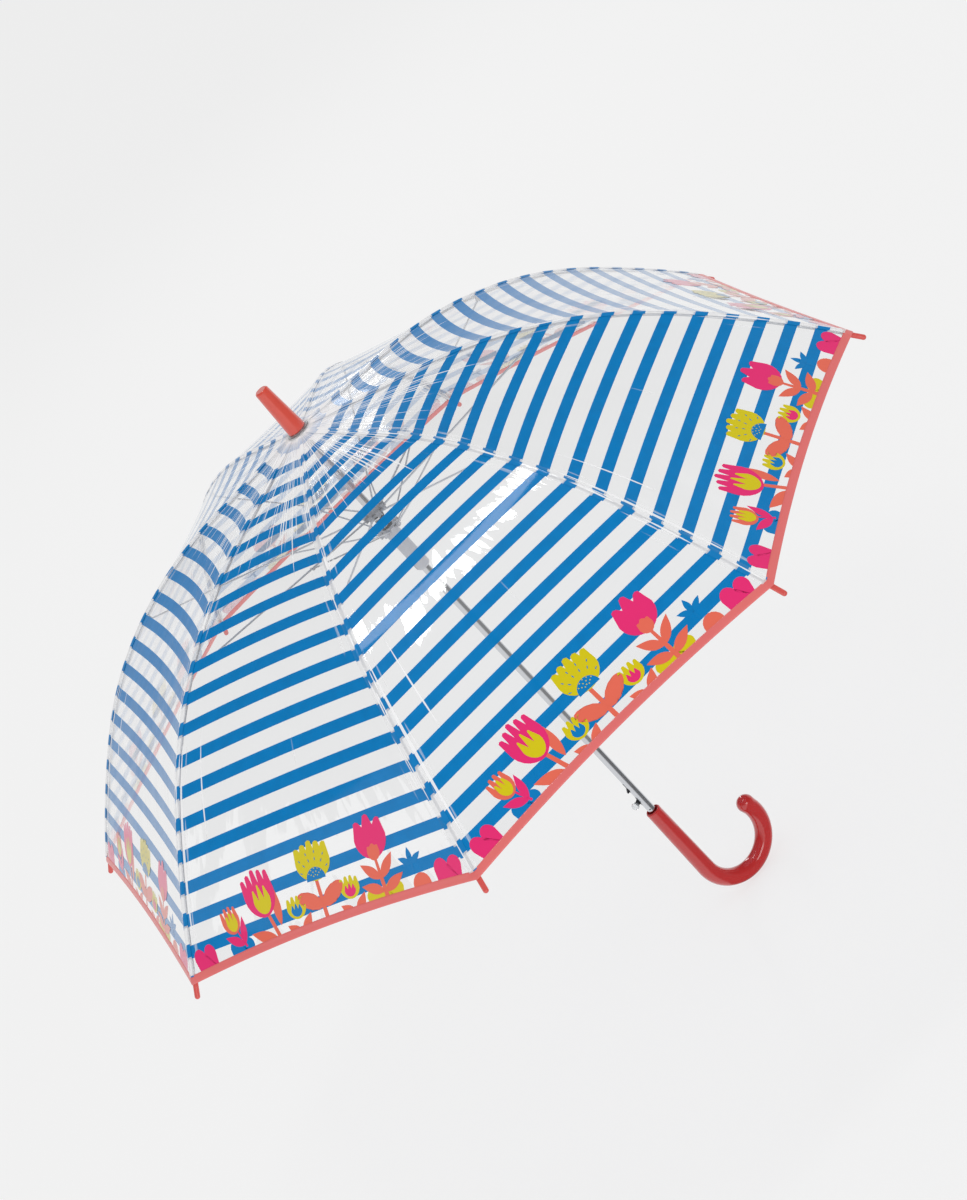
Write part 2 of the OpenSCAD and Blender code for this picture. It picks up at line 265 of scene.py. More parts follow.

# pleats gathered at the crown and the film's slight waviness, as relief, and painted glints: white streaks
# along the pleats and beside the seams
creasesAndGlints = {
    "wide": (12.0, 5.0, 1.0, 0.0),      # each noise: scale across, scale along, detail, offset
    "narrow": (30.0, 4.0, 0.0, 7.0),
    "beside": (330.0, 14.0, 1.0, 3.0),
    "broad": (26.0, 8.0, 0.0, 5.0),
    "middle": (85.0, 22.0, 1.0, 9.0),
    "sharpness": 38.0,
    "reach": (0.01, 0.2),               # metres along the rib over which the painted pleat glints thin out
    "widePleatGlints": (0.57, 0.76),         # noise above which a painted pleat glint shows, at the crown and beyond its reach
    "narrowPleatGlints": (0.6, 0.8),
    "glints": 0.63,
    "glintSharpness": 30.0,
    "crownReach": (0.02, 0.26),
    "seamReach": (0.002, 0.016),        # metres from the seam
    "crownRelief": 0.4,
    "seamRelief": 0.25,
    "broadRelief": 1.3,
    "middleRelief": 0.22,
}
creaseAndGlintGroup, g, gIn, gOut = newGroup(
    "filmCreasesAndPaintedGlints", [("Across", "NodeSocketFloat", 0.0), ("Along", "NodeSocketFloat", 0.0),
                    ("Half", "NodeSocketFloat", 0.1)],
    [("Height", "NodeSocketFloat"), ("Painted Glint Mask", "NodeSocketFloat")])


def stretchedNoise(x, xScale, yScale, detail, offset):
    spot = g.add("ShaderNodeCombineXYZ", {"X": g.math("MULTIPLY", x, xScale), "Z": offset,
                                          "Y": g.math("MULTIPLY", gIn.outputs["Along"], yScale)})
    return g.add("ShaderNodeTexNoise", {"Vector": spot.outputs[0], "Scale": 1.0, "Detail": detail,
                                        "Roughness": 0.5}).outputs["Fac"]


def streaks(noise, limits):
    limit = g.ramp(gIn.outputs["Along"], *creasesAndGlints["reach"], *limits)
    return g.math("MULTIPLY", g.math("SUBTRACT", noise, limit), creasesAndGlints["sharpness"], clamp=True)


turn = g.math("DIVIDE", gIn.outputs["Across"], gIn.outputs["Half"])
wide = stretchedNoise(turn, *creasesAndGlints["wide"])
narrow = stretchedNoise(turn, *creasesAndGlints["narrow"])
beside = stretchedNoise(gIn.outputs["Across"], *creasesAndGlints["beside"])
broad = stretchedNoise(gIn.outputs["Across"], *creasesAndGlints["broad"])
middle = stretchedNoise(gIn.outputs["Across"], *creasesAndGlints["middle"])
nearCrown = g.ramp(gIn.outputs["Along"], *creasesAndGlints["crownReach"], 1.0, 0.0)
nearSeam = g.ramp(g.math("ABSOLUTE", gIn.outputs["Across"]), *creasesAndGlints["seamReach"], 1.0, 0.0)
# painted highlights: the mask of white glint streaks along the pleats and beside the seams
pleatGlint = g.math("MAXIMUM", streaks(wide, creasesAndGlints["widePleatGlints"]), streaks(narrow, creasesAndGlints["narrowPleatGlints"]))
glint = g.math("SUBTRACT", beside, creasesAndGlints["glints"])
glint = g.math("MULTIPLY", g.math("MULTIPLY", glint, creasesAndGlints["glintSharpness"], clamp=True), nearSeam)
g.join(g.math("MAXIMUM", pleatGlint, glint), gOut.inputs["Painted Glint Mask"])
crownHeap = g.math("MULTIPLY", g.math("MULTIPLY", nearCrown, nearCrown),
                   g.math("MULTIPLY", wide, creasesAndGlints["crownRelief"]))
seamHeap = g.math("MULTIPLY", g.math("MULTIPLY", nearSeam, creasesAndGlints["seamRelief"]), beside)
relief = g.math("ADD", g.math("ADD", crownHeap, seamHeap), g.math("MULTIPLY", broad, creasesAndGlints["broadRelief"]))
relief = g.math("ADD", relief, g.math("MULTIPLY", middle, creasesAndGlints["middleRelief"]))
g.join(relief, gOut.inputs["Height"])

# small wear of moulded and plated parts: mottled colour, roughness and a shallow bump
surface = {"cloudScale": 24.0, "dentDepth": 0.0004, "coatRoughness": 0.03}
wearGroup, g, gIn, gOut = newGroup(
    "surfaceWear", [("Scale", "NodeSocketFloat", 400.0), ("Colour Swing", "NodeSocketFloat", 0.05),
                    ("Rough Low", "NodeSocketFloat", 0.1), ("Rough High", "NodeSocketFloat", 0.2),
                    ("Stretch", "NodeSocketFloat", 1.0)],
    [("Tint", "NodeSocketFloat"), ("Roughness", "NodeSocketFloat"), ("Height", "NodeSocketFloat")])
spot = g.add("ShaderNodeTexCoord").outputs["Object"]
stretched = g.add("ShaderNodeVectorMath", {0: spot, 1: g.add("ShaderNodeCombineXYZ", {
    "X": 1.0, "Y": 1.0, "Z": gIn.outputs["Stretch"]}).outputs[0]}, operation="MULTIPLY").outputs[0]
grain = g.add("ShaderNodeTexNoise", {"Vector": stretched, "Scale": gIn.outputs["Scale"], "Detail": 3.0})
cloud = g.add("ShaderNodeTexNoise", {"Vector": spot, "Scale": surface["cloudScale"], "Detail": 2.0})
swing = g.math("MULTIPLY", g.math("SUBTRACT", cloud.outputs["Fac"], 0.5), gIn.outputs["Colour Swing"])
g.join(g.math("ADD", swing, 1.0), gOut.inputs["Tint"])
share = g.math("MULTIPLY", g.math("ADD", grain.outputs["Fac"], cloud.outputs["Fac"]), 0.5)
spread = g.math("SUBTRACT", gIn.outputs["Rough High"], gIn.outputs["Rough Low"])
g.join(g.math("MULTIPLY_ADD", spread, share, gIn.outputs["Rough Low"]), gOut.inputs["Roughness"])
g.join(grain.outputs["Fac"], gOut.inputs["Height"])
print("shader groups built")


def tinted(t, colour, tint):
    node = t.add("ShaderNodeMix", {"Factor": 1.0}, data_type="RGBA", blend_type="MULTIPLY")
    node.inputs[6].default_value = colour
    t.join(tint, node.inputs[7])
    return node.outputs[2]


def solidMaterial(name, colour, metallic=0.0, rough=(0.1, 0.2), swing=0.08, scale=500.0, stretch=1.0,
                  bump=0.05, coat=0.0, specular=0.5, transmission=0.0):
    material, t, out = newMaterial(name)
    wear = useGroup(t, wearGroup, {"Scale": scale, "Colour Swing": swing, "Rough Low": rough[0],
                                   "Rough High": rough[1], "Stretch": stretch})
    dent = t.add("ShaderNodeBump", {"Height": wear.outputs["Height"], "Strength": bump,
                                    "Distance": surface["dentDepth"]})
    shader = t.add("ShaderNodeBsdfPrincipled", {
        "Base Color": tinted(t, colour, wear.outputs["Tint"]), "Roughness": wear.outputs["Roughness"],
        "Normal": dent.outputs[0], "Metallic": metallic, "Coat Weight": coat,
        "Coat Roughness": surface["coatRoughness"], "Specular IOR Level": specular,
        "Transmission Weight": transmission})
    t.join(shader.outputs[0], out.inputs["Surface"])
    return material


# clear film with ink on it: the ink is a coated colour, the bare film lets the view through and mirrors a
# little, and white is painted on as glints along the pleats and as a sheen edge on; a reach is in metres along
# the rib, counted from the hinge
filmLook = {
    "clear": (0.965, 0.97, 0.975, 1.0),
    "hazeAndGlintWhite": (0.98, 0.98, 0.99, 1.0),
    "refraction": 1.55,
    "dentStrength": 0.55,
    "dentDepth": 0.004,
    "glossReach": (0.06, 0.15),         # the creased crown mirrors less
    "crownGloss": 0.35,
    "roughReach": (0.05, 0.16),
    "roughness": (0.15, 0.04),          # at the crown and beyond it
    "insideMirror": 0.2,
    "edgeBlend": 0.35,
    "streakGlint": 0.85,
    "crownMilk": 0.7,
    "milkReach": (0.012, 0.05),
    "edgeSheenWhite": 0.27,
    "insideMilk": 0.14,
    "inkUnderGlint": 0.12,                # what is left of the print under a painted glint
    "inkInside": 0.4,
    "inkUnderEdgeSheen": 0.22,
    "edgeOn": (0.58, 0.88),             # facing at which the print starts and stops to fade under the painted sheen
    "inkAtCrown": 0.2,
    "inkReach": (0.008, 0.03),
    "inkRoughness": 0.35,
    "inkCoat": 0.35,
    "inkCoatRoughness": 0.04,
    "inkSpecular": 0.05,
}


def filmMaterial(name, ink, haze, mirror, inkCover=0.996):
    material, t, out = newMaterial(name)
    cut = t.add("ShaderNodeSeparateXYZ", {"Vector": t.add("ShaderNodeUVMap", uv_map="cut").outputs[0]})
    across, along = cut.outputs["X"], cut.outputs["Y"]
    # about half the panel's width at this distance from the hinge
    half = t.math("ADD", t.math("MULTIPLY", along, math.sin(halfStep) * 0.93), 0.004)
    creaseAndGlint = useGroup(t, creaseAndGlintGroup, {"Across": across, "Along": along, "Half": half})
    dent = t.add("ShaderNodeBump", {"Height": creaseAndGlint.outputs["Height"], "Strength": filmLook["dentStrength"],
                                    "Distance": filmLook["dentDepth"]})
    inside = t.add("ShaderNodeNewGeometry").outputs["Backfacing"]
    edgeOn = t.add("ShaderNodeLayerWeight", {"Blend": filmLook["edgeBlend"]}).outputs["Facing"]
    paintedGlint = creaseAndGlint.outputs["Painted Glint Mask"]

    clear = t.add("ShaderNodeBsdfTransparent", {"Color": filmLook["clear"]})
    shine = t.add("ShaderNodeBsdfGlossy", {
        "Color": (1, 1, 1, 1), "Normal": dent.outputs[0],
        "Roughness": t.ramp(along, *filmLook["roughReach"], *filmLook["roughness"])})
    fresnel = t.add("ShaderNodeFresnel", {"IOR": filmLook["refraction"], "Normal": dent.outputs[0]})
    gloss = t.math("MULTIPLY", fresnel.outputs[0],
                   t.ramp(inside, 0.0, 1.0, mirror, mirror * filmLook["insideMirror"]))
    gloss = t.math("MULTIPLY", gloss, t.ramp(along, *filmLook["glossReach"], filmLook["crownGloss"], 1.0),
                   clamp=True)
    bare = t.add("ShaderNodeMixShader", {0: gloss, 1: clear.outputs[0], 2: shine.outputs[0]})

    # white painted into the film: painted glints along the pleats and a painted sheen edge on, besides its real
    # haze, the whitish gather at the crown and a haze seen from inside
    hazeAndGlintWhite = t.add("ShaderNodeBsdfDiffuse", {"Color": filmLook["hazeAndGlintWhite"]})
    hazeAndGlintShare = t.math("ADD", t.math("MULTIPLY", paintedGlint, filmLook["streakGlint"]),
                   t.ramp(along, *filmLook["milkReach"], haze + filmLook["crownMilk"], haze))
    # painted sheen: white diffuse mixed in edge on
    hazeAndGlintShare = t.math("ADD", hazeAndGlintShare, t.math("MULTIPLY", t.math("POWER", edgeOn, 3.0), filmLook["edgeSheenWhite"]))
    hazeAndGlintShare = t.math("ADD", hazeAndGlintShare, t.math("MULTIPLY", inside, filmLook["insideMilk"]), clamp=True)
    bare = t.add("ShaderNodeMixShader", {0: hazeAndGlintShare, 1: bare.outputs[0], 2: hazeAndGlintWhite.outputs[0]})

    bands = useGroup(t, bandGroup, {"Along": along, "Period": ribCurve["length"] / film["stripes"],
                                    "Share": film["stripeShare"]})
    printed = t.add("ShaderNodeBsdfPrincipled", {
        "Base Color": tinted(t, ink, bands.outputs["Ink Wear"]), "Roughness": filmLook["inkRoughness"],
        "Coat Weight": filmLook["inkCoat"], "Coat Roughness": filmLook["inkCoatRoughness"],
        "Specular IOR Level": filmLook["inkSpecular"], "Normal": dent.outputs[0]})
    # the print is cut by the painted pleat glints, fades edge on under the painted sheen, and pales from inside
    thinned = t.math("MULTIPLY", t.ramp(paintedGlint, 0.0, 1.0, 1.0, filmLook["inkUnderGlint"]),
                     t.ramp(inside, 0.0, 1.0, 1.0, filmLook["inkInside"]))
    thinned = t.math("MULTIPLY", thinned, t.ramp(edgeOn, *filmLook["edgeOn"], 1.0, filmLook["inkUnderEdgeSheen"]))
    thinned = t.math("MULTIPLY", thinned, t.ramp(along, *filmLook["inkReach"], filmLook["inkAtCrown"], 1.0))
    cover = t.math("MULTIPLY", t.math("MULTIPLY", bands.outputs["Mask"], inkCover), thinned)
    whole = t.add("ShaderNodeMixShader", {0: cover, 1: bare.outputs[0], 2: printed.outputs[0]})
    t.join(whole.outputs[0], out.inputs["Surface"])
    return material


# printed ink of the border, paler from inside the film, and paler edge on, where a sheen is painted into its
# colour
borderInk = {
    "paleAndSheen": (0.82, 0.83, 0.85, 1.0),
    "insidePale": 0.45,
    "edgeSheenPale": 0.7,
    "edgeOn": (0.55, 0.9),      # facing at which the painted sheen starts and stops to pale the ink
    "rough": (0.28, 0.4),
    "coat": 0.35,
    "specular": 0.15,
}


def inkMaterial(name, colour):
    material, t, out = newMaterial(name)
    wear = useGroup(t, wearGroup, {"Scale": 900.0, "Colour Swing": 0.06, "Rough Low": borderInk["rough"][0],
                                   "Rough High": borderInk["rough"][1], "Stretch": 1.0})
    dent = t.add("ShaderNodeBump", {"Height": wear.outputs["Height"], "Strength": 0.03,
                                    "Distance": surface["dentDepth"]})
    inside = t.add("ShaderNodeNewGeometry").outputs["Backfacing"]
    edgeOn = t.add("ShaderNodeLayerWeight", {"Blend": filmLook["edgeBlend"]}).outputs["Facing"]
    # painted sheen: edge on the ink's colour turns pale; from inside it pales too
    paleAndSheen = t.math("MAXIMUM", t.math("MULTIPLY", inside, borderInk["insidePale"]),
                  t.ramp(edgeOn, *borderInk["edgeOn"], 0.0, borderInk["edgeSheenPale"]))
    shader = t.add("ShaderNodeBsdfPrincipled", {
        "Base Color": t.mixColour(paleAndSheen, tinted(t, colour, wear.outputs["Tint"]), borderInk["paleAndSheen"]),
        "Roughness": wear.outputs["Roughness"], "Normal": dent.outputs[0], "Coat Weight": borderInk["coat"],
        "Coat Roughness": surface["coatRoughness"], "Specular IOR Level": borderInk["specular"]})
    t.join(shader.outputs[0], out.inputs["Surface"])
    return material


looks = {
    "film": filmMaterial("clearPrintedFilm", inks["blue"], haze=0.1, mirror=1.5),
    "weld": filmMaterial("weldedSeam", inks["blue"], haze=0.55, mirror=2.2, inkCover=0.98),
    "hem": solidMaterial("hemTape", inks["hem"], rough=(0.3, 0.45), swing=0.1, scale=1400.0, bump=0.25,
                         coat=0.3),
    "tip": solidMaterial("tipPlastic", inks["tip"], rough=(0.18, 0.3), coat=0.4),
    "ferrule": solidMaterial("ferrulePlastic", inks["ferrule"], rough=(0.14, 0.24), coat=0.8),
    "handle": solidMaterial("handleLacquer", inks["handle"], rough=(0.12, 0.2), swing=0.04, coat=1.0,
                            bump=0.008),
    "chrome": solidMaterial("shaftChrome", srgb("D6D8DC"), metallic=1.0, rough=(0.05, 0.1), stretch=0.04,
                            swing=0.03, bump=0.02),
    "wire": solidMaterial("ribWire", srgb("D8DADE"), metallic=0.8, rough=(0.3, 0.42), stretch=0.2),
    "steel": solidMaterial("plainWire", srgb("A6A8AC"), metallic=1.0, rough=(0.25, 0.4)),
    "darkSteel": solidMaterial("darkSpring", srgb("4A4B50"), metallic=0.9, rough=(0.25, 0.4)),
    "greyPlastic": solidMaterial("greyHub", srgb("9A9CA2"), rough=(0.3, 0.45), scale=900.0, bump=0.12),
    "palePlastic": solidMaterial("paleRunner", srgb("C9CACF"), rough=(0.25, 0.4), scale=900.0, bump=0.1),
    "whitePlastic": solidMaterial("whiteNotch", srgb("E6E7E9"), rough=(0.3, 0.45), scale=900.0, bump=0.1),
    "clearPlastic": solidMaterial("clearMoulding", srgb("F4F6F8"), rough=(0.04, 0.08), swing=0.02, bump=0.02,
                                  transmission=0.85, specular=0.6),
    "blue": inkMaterial("blueInk", inks["blue"]),
    "coral": inkMaterial("coralInk", inks["coral"]),
    "magenta": inkMaterial("magentaInk", inks["magenta"]),
    "yellow": inkMaterial("yellowInk", inks["yellow"]),
}
print("materials built:", len(looks))

nodeLooks = {
    "shaft": "chrome", "ferrule_cap": "ferrule", "crown_washer": "clearPlastic", "top_notch": "whitePlastic",
    "top_notch_wire": "steel", "top_notch_pin": "steel", "handle": "handle", "spring_hub": "greyPlastic",
    "spring_hub_wire": "steel", "opening_spring": "darkSteel", "runner": "palePlastic", "runner_wire": "steel",
    "release_lever": "darkSteel", "release_button": "clearPlastic", "release_lever_pin": "steel",
}
for name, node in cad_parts.items():
    key = nodeLooks.get(name)
    if name.startswith("rib_tip_"):
        key = "tip"
    elif name.startswith(("rib_", "stretcher_", "strut_")):
        key = "wire"
    if key:
        node.data.materials.clear()
        node.data.materials.append(looks[key])


# the flower border, drawn flat in millimetres: x across the panel from its middle, y up from the hem's chord
def place(outline, x, y, angle=0.0):
    c, s = math.cos(math.radians(angle)), math.sin(math.radians(angle))
    return [(x + px * c + py * s, y - px * s + py * c) for px, py in outline]


def leaf(x, y, length, width, angle, steps=9):
    points = []
    for i in range(steps + 1):
        t = i / steps
        points.append((width / 2 * math.sin(math.pi * t ** 0.85), length * t))
    for i in range(steps - 1, 0, -1):
        t = i / steps
        points.append((-width / 2 * math.sin(math.pi * t ** 0.85), length * t))
    return place(points, x, y, angle)


def bloom(x, y, width, height, lobes, angle=0.0, steps=9):
    points = [(-width / 2 * 0.86, 0.0), (width / 2 * 0.86, 0.0)]
    lobe = width / lobes
    for n in range(lobes):
        centre = width / 2 - lobe * (n + 0.5)
        for i in range(steps + 1):
            a = math.pi * i / steps
            tall = height * (0.62 if lobes > 1 else 0.4)
            points.append((centre + lobe / 2 * 1.04 * math.cos(a), tall + (height - tall) * math.sin(a)))
    return place(points, x, y, angle)


def cup(x, y, width, height, points, angle=0.0, depth=0.4, blunt=0.25):
    outline = []
    for i in range(13):                      # round bottom, from right to left
        a = math.pi * i / 12
        outline.append((width / 2 * math.cos(a) * (0.9 + 0.1 * abs(math.cos(a))),
                        height * 0.48 - height * 0.48 * math.sin(a)))
    petal = width / points
    for n in range(points):                  # petals back from left to right
        left = -width / 2 + petal * n
        rise = height * (1.0 - 0.12 * abs(n - (points - 1) / 2) / max((points - 1) / 2, 1))
        outline.append((left + petal * (0.5 - blunt), rise * 0.97))
        outline.append((left + petal * 0.5, rise))
        outline.append((left + petal * (0.5 + blunt), rise * 0.97))
        if n < points - 1:
            outline.append((left + petal, height * (1 - depth)))
    return place(outline, x, y, angle)


def stem(x0, y0, x1, y1, wide0, wide1):
    along = Vector((x1 - x0, y1 - y0)).normalized()
    side = Vector((along.y, -along.x))
    return [(x0 + side.x * wide0 / 2, y0 + side.y * wide0 / 2),
            (x1 + side.x * wide1 / 2, y1 + side.y * wide1 / 2),
            (x1 - side.x * wide1 / 2, y1 - side.y * wide1 / 2),
            (x0 - side.x * wide0 / 2, y0 - side.y * wide0 / 2)]


def oakLeaf(x, y, length, width, angle, lobes=4):
    right, left = [], []
    for i in range(lobes * 4 + 1):
        t = i / (lobes * 4)
        body = width / 2 * math.sin(math.pi * min(0.08 + 0.86 * t, 1)) ** 0.6
        half = body * (0.72 + 0.28 * abs(math.sin(math.pi * lobes * t)))
        right.append((half, length * t))
        left.append((-half, length * t))
    return place(right + left[::-1], x, y, angle)


def halfDisc(x, y, radius, angle=0.0, steps=14):
    points = [(radius * math.cos(math.pi * i / steps), radius * math.sin(math.pi * i / steps))
              for i in range(steps + 1)]
    return place(points, x, y, angle)


def disc(x, y, radius, steps=8):
    return [(x + radius * math.cos(2 * math.pi * i / steps), y + radius * math.sin(2 * math.pi * i / steps))
            for i in range(steps)]


def flowerBorder():
    shapes = []                              # (ink, layer, outline)

    def draw(ink, layer, outline):
        shapes.append((ink, layer, outline))

    draw("magenta", 0, bloom(-136, 4, 25, 23, 2, -6))
    draw("blue", 0, bloom(-95, 4, 27, 18, 2, 4))
    # small coral tulip on a magenta sprig
    draw("magenta", 1, stem(-89, 14, -95, 30, 2.2, 1.6))
    draw("magenta", 1, leaf(-90, 16, 24, 7, 10))
    draw("magenta", 1, leaf(-90, 16, 22, 8, -62))
    draw("coral", 2, cup(-97, 27, 20, 25, 4, -8))
    draw("yellow", 3, cup(-96.6, 29, 12, 17, 3, -8, depth=0.5))
    # tall jagged tulip with two long leaves
    draw("coral", 0, stem(-50, 8, -57, 34, 4.2, 3.2))
    draw("coral", 0, leaf(-52, 9, 31, 11, -66))
    draw("coral", 0, leaf(-46, 20, 36, 9, 2))
    draw("magenta", 1, cup(-58, 31, 34, 42, 5, -6, depth=0.3, blunt=0.3))
    draw("yellow", 2, cup(-57.5, 33.5, 19, 26, 3, -6, depth=0.52, blunt=0.12))
    # two small tulips over paired leaves
    for x, heart in ((-26, "blue"), (35, "magenta")):
        draw("coral", 0, leaf(x + 1, 6, 19, 9, -52))
        draw("coral", 0, leaf(x + 1, 6, 21, 9, 40))
        draw("yellow", 1, cup(x, 20, 21, 20, 4, 4, depth=0.32))
        draw(heart, 2, cup(x, 22, 12, 11, 3, 4, depth=0.45, blunt=0.12))
    # tall yellow flower in the middle
    draw("coral", 0, stem(4, 5, 4, 52, 4.6, 3.4))
    draw("coral", 1, oakLeaf(3, 24, 27, 14, -62))
    draw("coral", 1, oakLeaf(5, 24, 27, 14, 62))
    draw("yellow", 2, cup(5, 44, 38, 34, 5, 2, depth=0.22, blunt=0.33))
    draw("blue", 3, halfDisc(4.6, 45.0, 10.5, 2))
    for i in range(3):
        for j in range(5 - i):
            a = math.radians(25 + 130 * (j + 0.5) / (5 - i))
            radius = 8.6 - 2.7 * i
            draw("yellow", 4, disc(4.8 + radius * math.cos(a), 46.0 + radius * math.sin(a), 0.55))
    for i in range(6):
        a = math.radians(28 + 124 * i / 5)
        for radius, size in ((14.5, 3.4), (20.5, 3.0)):
            if radius > 15 and i in (0, 5):
                continue
            x, y = 5 + radius * math.cos(a), 46 + radius * math.sin(a)
            draw("blue", 4, leaf(x, y, size, 0.9, 90 - math.degrees(a), 4))
    # tall magenta tulip out of a yellow bush
    draw("yellow", 0, bloom(70, 4, 39, 19, 2))
    draw("coral", 1, stem(71, 8, 70, 50, 4.6, 2.4))
    for y, length, angle in ((17, 24, -68), (16, 25, 66), (27, 24, -48), (27, 25, 44)):
        draw("coral", 1, leaf(70.5, y, length, 9, angle))
    draw("magenta", 2, cup(70, 44, 34, 37, 3, 3, depth=0.26, blunt=0.22))
    draw("coral", 3, cup(70, 42.5, 13, 14, 3, 3, depth=0.1, blunt=0.3))
    # small blue sprig, a bump and the last bloom
    draw("blue", 0, stem(104, 22, 104, 36, 2.4, 1.4))
    for angle in (-58, 0, 58):
        draw("blue", 0, leaf(104, 30, 14, 5.5, angle))
    draw("coral", 1, bloom(109, 4, 18, 17, 1))
    draw("magenta", 1, bloom(137, 4, 27, 22, 2, 5))
    return shapes


border = flowerBorder()
inkOrder = ["blue", "coral", "magenta", "yellow"]
printing = {
    "lift": 0.00012,            # off the film, and then from one layer of ink to the next
    "layerStep": 0.00007,
    "bandStep": 0.006,          # cuts that let the print follow the film's curve
    "hemGap": 0.0015,
}


def printPiece(k):
    hem = ribCurve["length"]
    bm = bmesh.new()
    cutLayer = bm.loops.layers.uv.new("cut")
    for ink, layer, outline in border:
        middle = sum(p[0] for p in outline) / len(outline)
        g = k if middle < 0 else k - 1
        part = bmesh.new()
        face = part.faces.new([part.verts.new((x / 1000, y / 1000, 0)) for x, y in outline])
        bmesh.ops.triangulate(part, faces=[face], ngon_method="EAR_CLIP")
        low = min(v.co.y for v in part.verts)
        high = max(v.co.y for v in part.verts)
        cut = printing["bandStep"] * math.ceil(low / printing["bandStep"] + 1e-6)
        while cut < high:
            geometry = part.verts[:] + part.edges[:] + part.faces[:]
            bmesh.ops.bisect_plane(part, geom=geometry, plane_co=(0, cut, 0), plane_no=(0, 1, 0))
            cut += printing["bandStep"]
        made = {}
        lift = printing["lift"] + layer * printing["layerStep"]
        for v in part.verts:             # nothing is printed beyond the hem tape
            share = min(1.0, abs(v.co.x) / panelHalf(hem))
            v.co.y = max(v.co.y, film["hemRise"] * (1 - share * share) + printing["hemGap"])
        bmesh.ops.dissolve_degenerate(part, dist=1e-5, edges=part.edges[:])
        for v in part.verts:
            s = hem - v.co.y
            across = v.co.x / panelHalf(s)
            made[v] = (bm.verts.new(panelPoint(g, s, across, lift)), (v.co.x, v.co.y))
        for f in part.faces:
            new = bm.faces.new([made[v][0] for v in f.verts])
            new.material_index = inkOrder.index(ink)
            new.smooth = True
            for loop, v in zip(new.loops, f.verts):
                loop[cutLayer].uv = made[v][1]
        part.free()
    bmesh.ops.recalc_face_normals(bm, faces=bm.faces[:])
    mesh = bpy.data.meshes.new(f"flowers_{k + 1}")
    bm.to_mesh(mesh)
    bm.free()
    # every face looks outwards
    flip = [p.index for p in mesh.polygons if p.normal.dot(Vector((p.center.x, p.center.y, 0.3))) < 0]
    if flip:
        bm = bmesh.new()
        bm.from_mesh(mesh)
        bm.faces.ensure_lookup_table()
        bmesh.ops.reverse_faces(bm, faces=[bm.faces[i] for i in flip])
        bm.to_mesh(mesh)
        bm.free()
    piece = bpy.data.objects.new(mesh.name, mesh)
    bpy.context.scene.collection.objects.link(piece)
    for ink in inkOrder:
        mesh.materials.append(looks[ink])
    return piece


def filmPiece(k):
    rows, columns = film["rows"], film["columns"]
    points, cuts = [], []
    for i in range(rows + 1):
        for j in range(-columns, columns + 1):
            turn = j / columns
            s = film["start"] + (hemLength(turn) - film["start"]) * i / rows
            points.append(ribFilmPoint(k, s, turn))
            cuts.append((turn * panelHalf(s), s))
    faces = [f[::-1] for f in gridFaces(rows, 2 * columns)]
    piece = makeMesh(f"film_{k + 1}", points, faces, looks["film"], cuts)
    for edge in piece.data.edges:          # the ridge over the rib stays crisp
        a, b = edge.vertices
        if a % (2 * columns + 1) == columns and b % (2 * columns + 1) == columns:
            edge.use_edge_sharp = True
    return piece


seam = {
    "halfWidth": 0.0042,
    "start": 0.004,             # along the rib
    "shorter": 0.010,           # than the rib
    "lift": 0.00045,            # off the film, so that it covers the join
    "bulge": 0.0006,
    "bandShift": 0.0016,        # the bands of two panels don't quite meet
    "rows": 80,
    "steps": 6,
}


def weldPiece(k):
    rows, steps = seam["rows"], seam["steps"]
    points, cuts = [], []
    for i in range(rows + 1):
        s = seam["start"] + (ribCurve["length"] - seam["shorter"]) * i / rows
        for j in range(-steps, steps + 1):
            off = j / steps * min(seam["halfWidth"], panelHalf(s) * 0.5)
            rise = seam["bulge"] * (1 - (j / steps) ** 2) + seam["lift"]
            points.append(ribFilmPoint(k, s, off / panelHalf(s), rise))
            cuts.append((off, s + seam["bandShift"] * (1 if j > 0 else -1)))
    faces = [f[::-1] for f in gridFaces(rows, 2 * steps)]
    return makeMesh(f"seam_{k + 1}", points, faces, looks["weld"], cuts)


hemTape = {"width": 0.0076, "thick": 0.0011, "overhang": 0.0006, "steps": 26, "section": 14}


def hemPiece(k):
    points = []
    count = 2 * hemTape["steps"] + 1
    for j in range(count):
        turn = (j - hemTape["steps"]) / hemTape["steps"]
        hem = hemLength(turn)
        for n in range(hemTape["section"]):
            a = 2 * math.pi * n / hemTape["section"]
            x = math.copysign(abs(math.cos(a)) ** 0.5, math.cos(a)) * hemTape["width"] / 2
            y = math.copysign(abs(math.sin(a)) ** 0.8, math.sin(a)) * hemTape["thick"] / 2
            points.append(ribFilmPoint(k, hem + hemTape["overhang"] - hemTape["width"] / 2 + x, turn, y))
    faces = gridFaces(count - 1, hemTape["section"], closed=True)
    return makeMesh(f"hem_{k + 1}", points, faces, looks["hem"])


for k in range(ribCurve["count"]):
    sheetPiece, weld, hem, flowers = filmPiece(k), weldPiece(k), hemPiece(k), printPiece(k)
    for piece in (sheetPiece, weld, hem, flowers):
        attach(piece, f"rib_{k + 1}")
    for piece in (sheetPiece, hem, flowers):
        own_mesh(piece)
    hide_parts(f"canopy_panel_{k + 1}")
print("canopy built")

